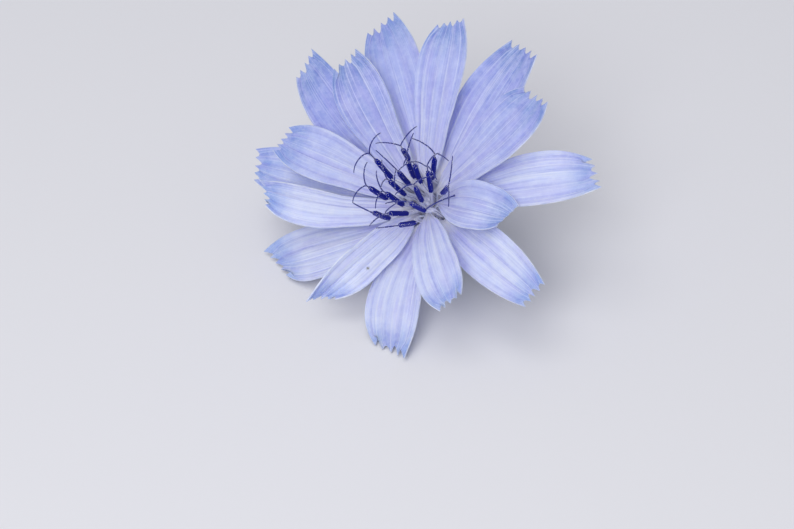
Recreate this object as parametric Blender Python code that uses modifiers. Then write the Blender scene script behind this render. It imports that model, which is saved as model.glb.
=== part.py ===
"""A chicory flower head, cut with a short stub of stalk and laid down.

Sixteen florets stand in two rings of eight on a green involucre. Each floret is a strap-shaped
petal with five teeth (a ligule), a dark blue tube of joined anthers and a thin style that runs up
through the tube and forks into two curled arms. The head leans on the cut end of its stalk and on
the tips of its lowest petals, so its face looks up and forwards (-Y).

Sizes are in millimetres and degrees and are turned into metres where the meshes are made. The
head is modelled upright in its own frame, with its axis along +Z and z = 0 where the outer petals
bend outwards, and is then leaned over by its parent empty.
"""

from dataclasses import dataclass
import math

import bmesh
import bpy
from mathutils import Euler, Vector
import numpy as np

MM = 0.001

# How the head lies
LEAN = 38.3
LEAN_TOWARDS = -127.4
SPIN = 121.0

# Rings of florets: even places in the outer ring, odd places in the inner one
FLORET_STEP = 22.5
FIRST_SEAT = 92.0
OUTER_RING = 3.1
INNER_RING = 1.7
OUTER_RUN = 1.0
INNER_RUN = 1.9
FOOT_Z = -1.0

# Petal blades
BLADE_THICKNESS = 0.6
BLADE_COLUMNS = 8
BLADE_ROWS = 10
BASE_HALF_WIDTH = 0.34
OUTER_NARROW = 1.0
INNER_NARROW = 1.8
BASE_ROLL = 0.68            # half angle of the curled foot, in radians
BLADE_BOW = 0.25            # half angle of the open blade
UNROLLED = 0.35             # share of the length where the blade has opened
BEND_LENGTH = 2.2
SWELL_POWER = 1.25
CLOSE_POWER = 2.4
TIP_SHARE = 0.53            # width at the tip against the full width
TOOTH_DEPTH = 0.5
TOOTH_ZONE = 0.1            # share of the length that the teeth take
PLEAT = 0.08
FOLD_FROM = 0.55
ROLL_FROM = 0.1
ROLL_OVER = 0.5

# Anther tubes and styles
COLUMN_SETBACK = 0.66
COLUMN_FOOT_Z = -0.85
NECK_PUSH = 0.1             # an outer column leans out this far at its neck
NECK_RING = 2.7             # where it passes between the inner petals
OUTER_NECK_Z = 3.2
INNER_NECK_Z = 1.8
ANTHER_FOOT_Z = 4.8
ANTHER_TOP_Z = 8.8
FILAMENT_RADIUS = 0.22
ANTHER_RADIUS = 0.32
SLEEVE_WALL = 0.1
STYLE_RADIUS = 0.08
ARM_RADIUS = 0.13
ARM_LENGTH = 3.2
ARM_START = 20.0
ARM_CURL = 130.0
ARM_CURL_POWER = 0.8

# Involucre: the core is turned about the axis and the bracts are raised from it
CORE_PROFILE = [(0.0, -1.15), (3.1, -1.15), (3.25, -1.6), (3.25, -3.6), (3.0, -6.0),
                (2.55, -7.8), (1.8, -8.9), (1.15, -9.5), (1.05, -10.2), (1.05, -14.0), (0.0, -14.0)]
CORE_STEPS = 16
INNER_BRACTS = 8
INNER_BRACT_SPAN = (-8.7, -0.2)
INNER_BRACT_WIDTH = 2.7
INNER_BRACT_RAISE = 0.1
KEEL = 0.25
OUTER_BRACTS = 5
FIRST_OUTER_BRACT = 59.0
OUTER_BRACT_LENGTH = 6.2
OUTER_BRACT_WIDTH = 2.8
OUTER_BRACT_FOOT = (2.3, -8.5)
OUTER_BRACT_SLOPES = (80.0, 18.0)
OUTER_BRACT_HOLLOW = 0.35
BRACT_THICKNESS = 0.6
BRACT_POINT = 0.1           # width at a bract's tip against its full width


@dataclass
class Floret:
    """One floret's own measures, in mm and degrees, as seen from above the head."""
    heading: float              # where the blade points, halfway along
    sweep: float                # how far the heading turns from foot to tip
    length: float
    width: float
    slant: float                # how much longer the left edge is than the middle
    widest: float               # share of the length where the blade is widest
    rise: float                 # slope of the blade past its bend
    tip_rise: float             # slope at the tip
    anther_foot: tuple
    anther_top: tuple
    free_style: float           # bare style between the anther tube and the fork
    arms: tuple                 # where the two style arms point
    roll: float = 0.0           # turn of the blade about its own length
    fold: float = 0.0           # how far the tip closes like a book


# Clockwise from the top of the head
FLORETS = [
    Floret(101.5, 6, 20.8, 7.0, -0.6, 0.68, 13, 11, (-0.6, 4.1), (0.3, 3.9), 1.5, (170, 45)),
    Floret(74, -7, 21.8, 5.9, -0.6, 0.75, 19, 12, (0.1, 1.9), (0.9, 2.4), 3.0, (0, 180)),
    Floret(49, -11, 20.0, 7.0, -0.3, 0.57, 13, 11, (2.3, 1.5), (4.1, 2.4), 0.8, (155, 310)),
    Floret(30, 16, 19.9, 6.4, -0.4, 0.75, 18, 14, (0.9, 1.2), (1.7, 1.9), 0.7, (235, 320)),
    Floret(0, -11, 20.4, 6.3, -0.7, 0.62, 10, 4, (3.5, -0.4), (5.6, -1.2), 0.8, (85, 270)),
    Floret(-18, -14, 13.5, 5.5, 0.7, 0.75, 30, -12, (2.1, 0.0), (3.3, 0.9), 1.2, (55, 300)),
    Floret(-43.5, -1, 18.6, 6.1, 0.0, 0.52, 12, 8, (1.3, -2.2), (1.2, -2.5), 0.8, (330, 180)),
    Floret(-70, 18, 17.5, 5.5, -0.2, 0.73, 28, 14, (1.0, -1.0), (1.8, -0.7), 0.8, (15, 210)),
    Floret(-105.5, 37, 17.4, 6.7, 1.0, 0.67, 8, 2, (0.1, -3.5), (-0.1, -4.9), 1.0, (0, 180)),
    Floret(-137, -15, 17.8, 4.6, -1.3, 0.70, 20, 2, (-0.8, -2.3), (-1.4, -3.4), 0.7, (25, 210),
           roll=-38, fold=0.9),
    Floret(-170, -12, 19.2, 7.2, -1.6, 0.70, 2, -8, (-3.0, -2.6), (-3.2, -3.1), 1.2, (150, 330),
           roll=8),
    Floret(172, -39, 20.6, 4.6, -0.9, 0.75, 15, 7, (-1.3, -1.2), (-1.7, -1.0), 0.8, (105, 255),
           roll=-30, fold=0.4),
    Floret(160, 1, 20.5, 7.0, -0.6, 0.62, 10, 6, (-3.3, -0.2), (-3.7, -0.1), 0.8, (85, 225),
           roll=8),
    Floret(153, 3, 19.3, 6.0, 0.3, 0.75, 26, 13, (-1.1, 0.0), (-1.3, 0.4), 0.6, (290, 105)),
    Floret(126.5, -21, 21.3, 6.1, -1.0, 0.62, 17, 12, (-2.7, 2.2), (-3.0, 3.1), 1.5, (60, 230),
           roll=6),
    Floret(114.5, -14, 20.0, 6.2, -0.5, 0.75, 22, 15, (-0.6, 1.2), (-0.2, 1.3), 0.8, (135, 270)),
]


def is_outer(place):
    return place % 2 == 0


def seat_angle(place):
    return math.radians(FIRST_SEAT - FLORET_STEP * place)


def ease(t):
    """0 to 1 with level ends."""
    t = np.clip(t, 0.0, 1.0)
    return t * t * (3.0 - 2.0 * t)


def polar(radius, angle, z):
    return np.array([radius * math.cos(angle), radius * math.sin(angle), z])


def rows(along, stations, values):
    """Reads the columns of values, given at stations, at the places along."""
    return np.stack([np.interp(along, stations, column) for column in values.T], -1)


def blade_spine(floret, place, steps=80):
    """The blade's middle line: stations, points, directions, and the blade's own cross and up."""
    run = OUTER_RUN if is_outer(place) else INNER_RUN
    ring = OUTER_RING if is_outer(place) else INNER_RING
    s = np.linspace(0.0, floret.length, steps)
    upright, rise, tip_rise = np.radians([90.0, floret.rise, floret.tip_rise])
    beyond = (s - run - BEND_LENGTH) / (floret.length - run - BEND_LENGTH)
    slope = upright + (rise - upright) * ease((s - run) / BEND_LENGTH) + (tip_rise - rise) * ease(beyond)
    out = np.clip((s - run) / (floret.length - run), 0.0, 1.0)
    heading = np.radians(floret.heading + floret.sweep * (out - 0.5))
    along = np.stack([np.cos(slope) * np.cos(heading), np.cos(slope) * np.sin(heading), np.sin(slope)], -1)
    step = floret.length / (steps - 1)
    travelled = np.cumsum((along[1:] + along[:-1]) * step / 2.0, axis=0)
    points = polar(ring, seat_angle(place), FOOT_Z) + np.vstack([np.zeros(3), travelled])
    level = np.stack([-np.sin(heading), np.cos(heading), np.zeros(steps)], -1)
    above = np.cross(along, level)
    roll = np.radians(floret.roll * ease((s / floret.length - ROLL_FROM) / ROLL_OVER))[:, None]
    cross = level * np.cos(roll) + above * np.sin(roll)
    return s, points, along, cross, np.cross(along, cross)


def blade_half_width(floret, place, u):
    narrow = OUTER_RUN + OUTER_NARROW if is_outer(place) else INNER_RUN + INNER_NARROW
    start = narrow / floret.length
    full = floret.width / 2.0
    swell = np.clip((u - start) / (floret.widest - start), 0.0, 1.0)
    growing = BASE_HALF_WIDTH + (full - BASE_HALF_WIDTH) * np.sin(math.pi / 2.0 * swell) ** SWELL_POWER
    shrink = np.clip((u - floret.widest) / (1.0 - floret.widest), 0.0, 1.0)
    closing = full * (1.0 - (1.0 - TIP_SHARE) * shrink ** CLOSE_POWER)
    return np.where(u < floret.widest, growing, closing)


def blade_points(floret, place, u, v):
    """Points of the blade for u from foot (0) to tip (1) and v from right edge (-1) to left (1)."""
    s, points, along, cross, above = blade_spine(floret, place)
    notch = TOOTH_DEPTH * (0.5 - 0.5 * np.cos(4.0 * math.pi * v)) * ease((u - 1.0 + TOOTH_ZONE) / TOOTH_ZONE)
    reach = u * floret.length + floret.slant * v * u ** 3 - notch
    inside = np.clip(reach, 0.0, floret.length)
    past_end = (reach - inside)[:, None]
    settled = ease(u / UNROLLED)
    folding = ease((u - FOLD_FROM) / (1.0 - FOLD_FROM))
    bow = BASE_ROLL * (1.0 - settled) + BLADE_BOW * settled + floret.fold * folding
    half = blade_half_width(floret, place, u)
    sideways = (half / bow * np.sin(bow * v))[:, None]
    ridge = PLEAT * np.cos(4.0 * math.pi * v) * settled
    lift = (half / bow * (1.0 - np.cos(bow * v)) + ridge)[:, None]
    return (rows(inside, s, points) + rows(inside, s, along) * past_end
            + rows(inside, s, cross) * sideways + rows(inside, s, above) * lift)


def blade_angle(place, radius):
    """Where a floret's blade crosses a circle about the axis, seen from above."""
    _, points, _, _, _ = blade_spine(FLORETS[place], place)
    nearest = points[np.argmin(np.abs(np.hypot(points[:, 0], points[:, 1]) - radius))]
    return math.atan2(nearest[1], nearest[0])


def neck_angle(place):
    """An outer column passes midway between the two inner petals beside it."""
    if not is_outer(place):
        return seat_angle(place)
    seat = seat_angle(place)
    sides = [blade_angle((place + step) % len(FLORETS), NECK_RING) for step in (-1, 1)]
    turns = [math.remainder(side - seat, math.tau) for side in sides]
    return seat + sum(turns) / 2.0


def column_points(floret, place):
    """Foot, neck, anther foot, anther top and fork of the floret's anther tube and style."""
    radius = (OUTER_RING if is_outer(place) else INNER_RING) - COLUMN_SETBACK
    neck_z = OUTER_NECK_Z if is_outer(place) else INNER_NECK_Z
    foot = polar(radius, seat_angle(place), COLUMN_FOOT_Z)
    neck = polar(radius + (NECK_PUSH if is_outer(place) else 0.0), neck_angle(place), neck_z)
    low = np.array([*floret.anther_foot, ANTHER_FOOT_Z])
    high = np.array([*floret.anther_top, ANTHER_TOP_Z])
    up = (high - low) / np.linalg.norm(high - low)
    return [foot, neck, low, high, high + up * floret.free_style], up


def smooth_path(knots, per_span):
    """A Catmull-Rom curve through the knots, with each point's place along them (1.5 is halfway
    from the second knot to the third)."""
    knots = np.array(knots)
    padded = np.vstack([2 * knots[0] - knots[1], knots, 2 * knots[-1] - knots[-2]])
    points, places = [], []
    for span in range(len(knots) - 1):
        a, b, c, d = padded[span:span + 4]
        for t in np.arange(per_span) / per_span:
            points.append(0.5 * (2 * b + (c - a) * t + (2 * a - 5 * b + 4 * c - d) * t ** 2
                                 + (3 * b - a - 3 * c + d) * t ** 3))
            places.append(span + t)
    return np.vstack([points, knots[-1]]), np.array(places + [len(knots) - 1.0])


def arm_points(fork, up, azimuth, steps=6):
    """A style arm: it leaves the fork near the style's own line and curls over and down."""
    azimuth = math.radians(azimuth)
    side = np.array([math.cos(azimuth), math.sin(azimuth), 0.0])
    side -= side.dot(up) * up
    side /= np.linalg.norm(side)
    curled = np.linspace(0.0, 1.0, steps)[:, None] ** ARM_CURL_POWER
    turn = np.radians(ARM_START + (ARM_CURL - ARM_START) * curled)
    ahead = np.cos(turn) * up + np.sin(turn) * side
    step = ARM_LENGTH / (steps - 1)
    return fork + np.vstack([np.zeros(3), np.cumsum((ahead[1:] + ahead[:-1]) * step / 2.0, axis=0)])


def clear_scene():
    for obj in list(bpy.data.objects):
        bpy.data.objects.remove(obj, do_unlink=True)


def new_collection(name):
    collection = bpy.data.collections.new(name)
    bpy.context.scene.collection.children.link(collection)
    return collection


def new_material(name, colour, roughness):
    material = bpy.data.materials.new(name)
    material.use_nodes = True
    shader = material.node_tree.nodes["Principled BSDF"]
    shader.inputs["Base Color"].default_value = (*colour, 1.0)
    shader.inputs["Roughness"].default_value = roughness
    shader.inputs["Metallic"].default_value = 0.0
    return material


def new_object(name, mesh, collection, material=None):
    obj = bpy.data.objects.new(name, mesh)
    collection.objects.link(obj)
    if material is not None:
        mesh.materials.clear()
        mesh.materials.append(material)
    return obj


def evaluated_mesh(obj):
    """The object's mesh with its modifiers applied."""
    bpy.context.view_layer.update()
    graph = bpy.context.evaluated_depsgraph_get()
    return bpy.data.meshes.new_from_object(obj.evaluated_get(graph))


def apply_modifiers(obj):
    mesh = evaluated_mesh(obj)
    obj.modifiers.clear()
    obj.data = mesh


def add_solidify(obj, thickness, offset):
    wall = obj.modifiers.new("Wall", "SOLIDIFY")
    wall.thickness = thickness * MM
    wall.offset = offset


def sheet_mesh(name, columns, row_count, shape):
    """A grid whose points are placed by shape(u, v), split into triangles so that both faces of
    the finished blade are split alike. u crowds towards the foot, where the blade bends most."""
    mesh = bpy.data.meshes.new(name)
    grid = bmesh.new()
    bmesh.ops.create_grid(grid, x_segments=columns, y_segments=row_count, size=1.0)
    v = np.array([vertex.co.x for vertex in grid.verts])
    u = np.array([(vertex.co.y + 1.0) / 2.0 for vertex in grid.verts])
    u = np.clip(u, 0.0, 1.0) ** 1.5
    for vertex, point in zip(grid.verts, shape(u, v)):
        vertex.co = Vector(point * MM)
    bmesh.ops.triangulate(grid, faces=grid.faces[:])
    grid.to_mesh(mesh)
    grid.free()
    return mesh


def tube(name, points, radii, collection, resolution=0, capped=True):
    """A round wire through the points, with a radius at each."""
    curve = bpy.data.curves.new(name, "CURVE")
    curve.dimensions = "3D"
    curve.bevel_depth = max(radii) * MM
    curve.bevel_resolution = resolution
    curve.use_fill_caps = capped
    spline = curve.splines.new("POLY")
    spline.points.add(len(points) - 1)
    for knot, point, radius in zip(spline.points, points, radii):
        knot.co = (*(Vector(point) * MM), 1.0)
        knot.radius = radius / max(radii)
    wire = bpy.data.objects.new(name, curve)
    collection.objects.link(wire)
    mesh = evaluated_mesh(wire)
    bpy.data.objects.remove(wire, do_unlink=True)
    weld = bmesh.new()
    weld.from_mesh(mesh)
    bmesh.ops.remove_doubles(weld, verts=weld.verts[:], dist=0.001 * MM)
    weld.to_mesh(mesh)
    weld.free()
    return new_object(name, mesh, collection)


def fuse(base, others):
    """Joins the closed solids in others to base by one Boolean union, then removes them. The
    Manifold solver closes the seams where bracts cross each other, which Exact leaves open."""
    joined = new_collection(base.name + "_joined")
    for obj in others:
        for owner in list(obj.users_collection):
            owner.objects.unlink(obj)
        joined.objects.link(obj)
    union = base.modifiers.new("Fused", "BOOLEAN")
    union.operation = "UNION"
    union.operand_type = "COLLECTION"
    union.collection = joined
    union.solver = "MANIFOLD"
    apply_modifiers(base)
    for obj in others:
        bpy.data.objects.remove(obj, do_unlink=True)
    bpy.data.collections.remove(joined)


def shade_smooth(obj, sharp_angle=50.0):
    obj.data.shade_smooth()
    obj.data.set_sharp_from_angle(angle=math.radians(sharp_angle))


def make_ligule(floret, place, collection, material):
    name = f"floret_{place + 1:02d}_ligule"
    mesh = sheet_mesh(name, BLADE_COLUMNS, BLADE_ROWS, lambda u, v: blade_points(floret, place, u, v))
    ligule = new_object(name, mesh, collection, material)
    add_solidify(ligule, BLADE_THICKNESS, 0.0)
    shade_smooth(ligule)
    return ligule


def make_anthers(floret, place, collection, material):
    """The sleeve round the style: a slim sheath of filaments below, the wider anther tube above."""
    knots, _ = column_points(floret, place)
    points, places = smooth_path(knots[:4], 2)
    radii = np.where(places < 2.0, FILAMENT_RADIUS, ANTHER_RADIUS)
    anthers = tube(f"floret_{place + 1:02d}_anthers", points, radii, collection, resolution=1, capped=False)
    anthers.data.materials.append(material)
    add_solidify(anthers, SLEEVE_WALL, -1.0)
    shade_smooth(anthers)
    return anthers


def make_style(floret, place, collection, material):
    """The stem inside the sleeve, the bare stretch above it, and two arms sunk into the fork."""
    name = f"floret_{place + 1:02d}_style"
    knots, up = column_points(floret, place)
    points, places = smooth_path(knots, 2)
    radii = np.where(places <= 3.0, STYLE_RADIUS, ARM_RADIUS)
    first_arm = arm_points(knots[-1], up, floret.arms[0])
    stem_points = np.vstack([points, first_arm[1:]])
    stem_radii = np.append(radii, np.full(len(first_arm) - 1, ARM_RADIUS))
    style = tube(name, stem_points, stem_radii, collection)
    second_arm = arm_points(knots[-1] - up * ARM_RADIUS, up, floret.arms[1])
    other = tube(name + "_arm", second_arm, np.full(len(second_arm), ARM_RADIUS * 0.97), collection)
    fuse(style, [other])
    style.data.materials.clear()
    style.data.materials.append(material)
    shade_smooth(style)
    return style


def core_radius(z):
    wall = CORE_PROFILE[1:-1]
    return np.interp(-z, [-point[1] for point in wall], [point[0] for point in wall])


def make_core(collection):
    profile = bpy.data.meshes.new("involucre")
    corners = [(radius * MM, 0.0, z * MM) for radius, z in CORE_PROFILE]
    profile.from_pydata(corners, [(i, i + 1) for i in range(len(corners) - 1)], [])
    core = new_object("involucre", profile, collection)
    turn = core.modifiers.new("Turned", "SCREW")
    turn.steps = CORE_STEPS
    turn.render_steps = CORE_STEPS
    turn.use_merge_vertices = True
    turn.merge_threshold = 0.01 * MM
    apply_modifiers(core)
    return core


def bract_half_width(width, foot_share, widest, tip_from, u):
    """Grows from foot_share of the width to all of it at widest, and closes to a point past tip_from."""
    growing = foot_share + (1.0 - foot_share) * ease(u / widest)
    closing = 1.0 - (1.0 - BRACT_POINT) * ease((u - tip_from) / (1.0 - tip_from))
    return width / 2.0 * growing * closing


def inner_bract_points(azimuth, u, v):
    """A long bract pressed to the core, with a keel, ending in a free point between two petals."""
    low, high = INNER_BRACT_SPAN
    z = low + (high - low) * u
    half = bract_half_width(INNER_BRACT_WIDTH, 0.55, 0.4, 0.5, u)
    radius = core_radius(z) + INNER_BRACT_RAISE + KEEL * (1.0 - np.abs(v)) * ease(u / 0.2)
    angle = azimuth + half * v / radius
    return np.stack([radius * np.cos(angle), radius * np.sin(angle), z], -1)


def outer_bract_points(azimuth, u, v, steps=40):
    """A short bract that leaves the foot of the head and curls away from it."""
    stations = np.linspace(0.0, 1.0, steps)
    slopes = np.radians(np.interp(stations, (0.0, 1.0), OUTER_BRACT_SLOPES))
    step = OUTER_BRACT_LENGTH / steps
    slope = np.interp(u, stations, slopes)
    hollow = OUTER_BRACT_HOLLOW * v * v * (1.0 - u)
    foot_radius, foot_z = OUTER_BRACT_FOOT
    radius = foot_radius + np.interp(u, stations, np.cumsum(np.cos(slopes)) * step) - hollow * np.sin(slope)
    z = foot_z + np.interp(u, stations, np.cumsum(np.sin(slopes)) * step) + hollow * np.cos(slope)
    side = bract_half_width(OUTER_BRACT_WIDTH, 0.6, 0.35, 0.3, u) * v
    return np.stack([radius * math.cos(azimuth) - side * math.sin(azimuth),
                     radius * math.sin(azimuth) + side * math.cos(azimuth), z], -1)


def make_bract(name, azimuth, shape, row_count, collection):
    mesh = sheet_mesh(name, 4, row_count, lambda u, v: shape(azimuth, u, v))
    bract = new_object(name, mesh, collection)
    add_solidify(bract, BRACT_THICKNESS, 0.0)
    apply_modifiers(bract)
    return bract


def make_involucre(collection, material):
    """The stalk stub, the swollen core and both rows of bracts, grown together as one body."""
    core = make_core(collection)
    bracts = []
    for k in range(INNER_BRACTS):
        azimuth = seat_angle(2 * k + 1)
        bracts.append(make_bract(f"inner_bract_{k}", azimuth, inner_bract_points, 7, collection))
    for k in range(OUTER_BRACTS):
        azimuth = math.radians(FIRST_OUTER_BRACT + 360.0 / OUTER_BRACTS * k)
        bracts.append(make_bract(f"outer_bract_{k}", azimuth, outer_bract_points, 6, collection))
    fuse(core, bracts)
    core.data.materials.clear()
    core.data.materials.append(material)
    shade_smooth(core)
    return core


def world_points(obj):
    mesh = evaluated_mesh(obj)
    points = np.array([obj.matrix_world @ vertex.co for vertex in mesh.vertices])
    bpy.data.meshes.remove(mesh)
    return points


def lay_down(head, ligules, everything):
    """Leans the head over and sets its lowest petal on the ground, with its box centred on Z."""
    spin = Euler((0.0, 0.0, math.radians(SPIN))).to_matrix()
    lean = Euler((0.0, math.radians(LEAN), 0.0)).to_matrix()
    towards = Euler((0.0, 0.0, math.radians(LEAN_TOWARDS))).to_matrix()
    head.rotation_euler = (towards @ lean @ spin).to_euler()
    bpy.context.view_layer.update()
    lowest = min(world_points(obj)[:, 2].min() for obj in ligules)
    points = np.vstack([world_points(obj) for obj in everything])
    middle = (points.min(axis=0) + points.max(axis=0)) / 2.0
    head.location = (-middle[0], -middle[1], -lowest)
    bpy.context.view_layer.update()


def trim_stalk(involucre, cutters):
    """Cuts the stalk off level with the ground."""
    size = 60.0 * MM
    bpy.ops.mesh.primitive_cube_add(size=size, location=(0.0, 0.0, -size / 2.0))
    block = bpy.context.object
    block.name = "ground_cutter"
    for owner in list(block.users_collection):
        owner.objects.unlink(block)
    cutters.objects.link(block)
    block.hide_render = True
    block.display_type = "WIRE"
    cut = involucre.modifiers.new("Cut level", "BOOLEAN")
    cut.operation = "DIFFERENCE"
    cut.object = block


def main():
    clear_scene()
    flower = new_collection("chicory_flower")
    cutters = new_collection("cutters")
    petal_blue = new_material("Petal blue", (0.42, 0.47, 0.80), 0.55)
    anther_blue = new_material("Anther navy", (0.02, 0.03, 0.19), 0.5)
    style_violet = new_material("Style violet", (0.10, 0.10, 0.42), 0.5)
    bract_green = new_material("Bract green", (0.12, 0.24, 0.06), 0.6)

    ligules, columns = [], []
    for place, floret in enumerate(FLORETS):
        ligules.append(make_ligule(floret, place, flower, petal_blue))
        columns.append(make_anthers(floret, place, flower, anther_blue))
        columns.append(make_style(floret, place, flower, style_violet))
    involucre = make_involucre(flower, bract_green)

    head = bpy.data.objects.new("head", None)
    flower.objects.link(head)
    for obj in ligules + columns + [involucre]:
        obj.parent = head
    lay_down(head, ligules, ligules + columns)
    trim_stalk(involucre, cutters)


main()
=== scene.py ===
"""Dresses a chicory flower head: petals, anther tubes, styles and the green cup, and its stage."""

from dataclasses import dataclass
from functools import partial
import math

import bmesh
import bpy
from bpy.props import FloatProperty, FloatVectorProperty, IntProperty, PointerProperty
from mathutils import Euler, Matrix, Vector
import numpy as np


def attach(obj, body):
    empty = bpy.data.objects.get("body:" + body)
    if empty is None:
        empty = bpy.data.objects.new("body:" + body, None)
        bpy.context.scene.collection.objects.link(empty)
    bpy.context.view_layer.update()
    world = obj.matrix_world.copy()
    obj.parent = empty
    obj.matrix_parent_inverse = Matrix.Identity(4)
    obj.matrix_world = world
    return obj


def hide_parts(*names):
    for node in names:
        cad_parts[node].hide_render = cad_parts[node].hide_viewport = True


bl_info = {
    "name": "Chicory flower",
    "version": (1, 0, 0),
    "blender": (4, 5, 0),
    "location": "View3D > Sidebar > Chicory",
    "description": "Petals, anther tubes, styles and bracts of a chicory flower head",
    "category": "Add Mesh",
}

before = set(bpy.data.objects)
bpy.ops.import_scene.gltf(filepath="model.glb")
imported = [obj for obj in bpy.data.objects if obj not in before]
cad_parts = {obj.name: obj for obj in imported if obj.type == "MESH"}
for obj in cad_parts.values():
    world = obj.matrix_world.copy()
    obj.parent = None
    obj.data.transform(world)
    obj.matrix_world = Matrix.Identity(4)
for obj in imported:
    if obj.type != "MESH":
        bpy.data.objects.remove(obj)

# The scene is in metres
MM = 0.001

# How the head lies, and the rule that its solids follow (mm and degrees, as in the part's source)
HEAD_PLACE = (0.78, 0.37, 8.71)
LEAN = 38.3
LEAN_TOWARDS = -127.4
SPIN = 121.0
FLORET_STEP = 22.5
FIRST_SEAT = 92.0
FOOT_Z = -1.0
BASE_HALF_WIDTH = 0.34
BASE_ROLL = 0.68
BLADE_BOW = 0.25
UNROLLED = 0.35
BEND_LENGTH = 2.2
SWELL_POWER = 1.25
CLOSE_POWER = 2.4
TIP_SHARE = 0.53
TOOTH_ZONE = 0.1
FOLD_FROM = 0.55
ROLL_FROM = 0.1
ROLL_OVER = 0.5
COLUMN_SETBACK = 0.55
COLUMN_FOOT_Z = -0.85
NECK_RING = 2.7
ANTHER_FOOT_Z = 4.8
ANTHER_TOP_Z = 8.8
ARM_START = 20.0
ARM_CURL_POWER = 0.8
CORE_PROFILE = [(3.1, -1.15), (3.25, -1.6), (3.25, -3.6), (3.0, -6.0), (2.55, -7.8),
                (1.8, -8.9), (1.15, -9.5), (1.05, -10.2), (1.05, -14.5)]
INNER_BRACTS = 8
INNER_BRACT_SPAN = (-8.7, -0.4)
INNER_BRACT_WIDTH = 2.7
INNER_BRACT_RAISE = 0.1
KEEL = 0.25
OUTER_BRACTS = 5
FIRST_OUTER_BRACT = 59.0
OUTER_BRACT_LENGTH = 6.2
OUTER_BRACT_WIDTH = 2.8
OUTER_BRACT_FOOT = (2.3, -8.5)
OUTER_BRACT_SLOPES = (80.0, 18.0)
OUTER_BRACT_HOLLOW = 0.35
BRACT_POINT = 0.1

# Finer than the solids: the foot of each petal is rolled into a tube, and its lower blade is a
# little wider, from this far past the foot and over these lengths
FOOT_TUBE_LENGTH = 3.4
FOOT_TUBE_HALF = 1.3
FOOT_TUBE_ROLL = 2.85
SHOULDER = 0.6
PLEAT = 0.035

# Small irregularities of a blade: its teeth, where its furrows run, and its wavy edge
TOOTH_UNEVENNESS = 0.28
FURROW_SHIFT = 0.05
RUFFLES = 2.3
RUFFLE_FROM = 0.25
RUFFLE_OVER = 0.5

# Edges that turn more than this stay sharp (degrees)
SHARP_ANGLE = 55.0

# How closely the sheets are divided
BLADE_COLUMNS = 64
BLADE_ROWS = 100
BRACT_COLUMNS = 16
BRACT_ROWS = 40

# How pale each petal is drawn (0 to 1), partly how far it has faded and partly painted light, which
# makes the lower petals and those in shade paler; and how deep its teeth are (mm), in the florets'
# order
FADED_AND_PAINTED_LIGHT = (0.3, 0.3, 0.0, 0.2, 0.85, 0.45, 0.9, 0.85, 0.8, 1.0, 1.0, 1.0, 0.7, 0.45, 0.0, 0.0)
TEETH = (0.75, 0.5, 0.65, 0.75, 0.9, 0.15, 0.9, 0.7, 0.85, 0.5, 0.7, 0.6, 0.65, 0.6, 0.7, 0.7)

# The domed seat of the florets, closed over the rim of the cup
SEAT_RADIUS = 3.08
SEAT_RIM_Z = -1.12
SEAT_RISE = 1.6

# A thread that has come off one floret's anther tube and lies across the middle (mm)
LOOSE_THREAD_FLORET = 7
LOOSE_THREAD = [(1.3, -2.2, 4.8), (1.9, -1.75, 4.62), (2.6, -1.35, 4.45), (3.32, -1.01, 4.25),
                (4.1, -0.78, 4.1), (4.69, -0.6, 4.0)]

# A speck of dirt on one petal: where (share of the length, -1 to 1 across), and its size in mm
SPECK_FLORET = 10
SPECK_PLACE = (0.65, 0.42)
SPECK_RADIUS = 0.2

# Real sizes that the patterns are drawn from (mm)
BLADE_LENGTH = 20.0
BLADE_HALF_WIDTH = 3.2
RAISED_VEIN_SPACING = 0.55
FURROWS_AT = 0.5

# How far apart in the noise the patterns of two florets lie
FLORET_SHIFT = 7.31

# The two kinds of node that come up most, and the places of a colour Mix node's sockets
MATH = "ShaderNodeMath"
RANGE = "ShaderNodeMapRange"
SHARE, FIRST, SECOND, MIXED = 0, 6, 7, 2

# How far red, green and blue light spreads inside petals, and inside white threads and scales
PETAL_GLOW = (0.7, 0.75, 1.0)
WHITE_GLOW = (0.8, 0.85, 1.0)


@dataclass
class Ring:
    """What the florets of one ring share, in mm."""
    radius: float               # how far their feet stand from the axis
    run: float                  # how far a ligule goes straight up
    narrow: float               # how much further it stays narrow
    shoulder: tuple             # the wider lower blade: where it grows from and over, and fades
    neck_z: float               # height of the column's neck
    neck_push: float            # how much further out the neck stands than the column's foot


# The outer ring and the inner one, which take turns round the head
RINGS = (Ring(3.1, 1.0, 1.0, (1.0, 1.6, 4.0, 5.0), 3.2, 0.1),
         Ring(1.7, 1.9, 1.8, (3.2, 2.0, 6.0, 5.0), 1.8, 0.0))


@dataclass
class Floret:
    """One floret's own measures, in mm and degrees, as seen from above the head."""
    heading: float              # where the blade points, halfway along
    sweep: float                # how far the heading turns from foot to tip
    length: float
    width: float
    slant: float                # how much longer the left edge is than the middle
    widest: float               # share of the length where the blade is widest
    rise: float                 # slope of the blade past its bend
    tip_rise: float             # slope at the tip
    anther_foot: tuple
    anther_top: tuple
    free_style: float           # bare style between the anther tube and the fork
    arms: tuple                 # each style arm's direction, curl and length
    roll: float = 0.0           # turn of the blade about its own length
    fold: float = 0.0           # how far the tip closes like a book


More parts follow.
